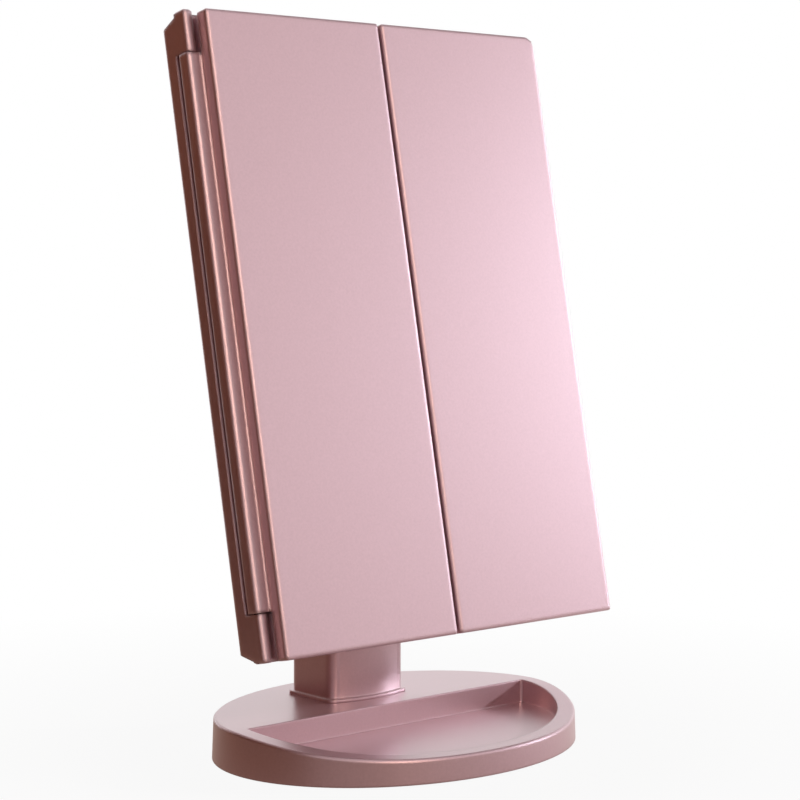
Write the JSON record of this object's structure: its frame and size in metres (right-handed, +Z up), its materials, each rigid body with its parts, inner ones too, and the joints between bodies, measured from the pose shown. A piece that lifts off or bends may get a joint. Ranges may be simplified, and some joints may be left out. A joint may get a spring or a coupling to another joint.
{
  "type": "makeup mirror",
  "caption": "Rose-gold folding make-up mirror with two hinged doors, a tilting lit head, a neck and an oval foot with a tray.",
  "frame": {"origin": "middle of the oval foot, on the surface it stands on", "axes": "+X to the viewer's right, -Y towards the viewer, +Z up"},
  "size_m": [0.18, 0.1216, 0.2851],
  "materials": {
    "rose_gold_plastic": "metallic satin",
    "dark_plastic": "moulded matte",
    "foot_rubber": "matte",
    "bright_steel": "bright zinc",
    "silvered_glass": "polished",
    "milky_acrylic": "frosted",
    "circuit_board": "solder mask",
    "light_emitter": "phosphor",
    "copper_foil": "bare"
  },
  "bodies": {
    "stand": {"base_shell": "rose_gold_plastic", "base_plate": "dark_plastic", "base_feet": "foot_rubber", "neck_post": "rose_gold_plastic"},
    "head": {"rear_housing": "rose_gold_plastic", "front_frame": "rose_gold_plastic", "centre_mirror": "silvered_glass", "light_diffusers": "milky_acrylic", "led_boards": "circuit_board", "led_chips": "light_emitter", "touch_electrode": "copper_foil", "control_board": "circuit_board", "usb_socket": "bright_steel", "switch_body": "dark_plastic", "battery_contacts": "bright_steel", "tilt_bracket": "rose_gold_plastic", "tilt_pin": "bright_steel", "tilt_nut": "dark_plastic", "hinge_pins": "bright_steel"},
    "left_door": {"left_door_shell": "rose_gold_plastic", "left_door_bezel": "rose_gold_plastic", "left_upper_mirror": "silvered_glass", "left_lower_mirror": "silvered_glass"},
    "right_door": {"right_door_shell": "rose_gold_plastic", "right_door_bezel": "rose_gold_plastic", "right_door_mirror": "silvered_glass"},
    "lid": {"battery_cover": "rose_gold_plastic"},
    "switch": {"switch_knob": "dark_plastic"}
  },
  "joints": [
    {"name": "head_tilt", "type": "hinge", "parent": "stand", "child": "head", "pos_m": [0, 0.01394, 0.08479], "axis": [-1, 0, 0], "range_deg": [-20, 30]},
    {"name": "left_door_swing", "type": "hinge", "parent": "head", "child": "left_door", "pos_m": [-0.087, -0.00286, 0.16588], "axis": [0, -0.2028, -0.9792], "range_deg": [0, 180]},
    {"name": "right_door_swing", "type": "hinge", "parent": "head", "child": "right_door", "pos_m": [0.087, -0.00286, 0.16588], "axis": [0, 0.2028, 0.9792], "range_deg": [0, 180]},
    {"name": "battery_lid", "type": "slide", "parent": "head", "child": "lid", "axis": [0, 0.9792, -0.2028], "range_m": [0, 0.03]},
    {"name": "power_switch", "type": "slide", "parent": "head", "child": "switch", "axis": [0, 0.2028, 0.9792], "range_m": [0, 0.003]}
  ]
}
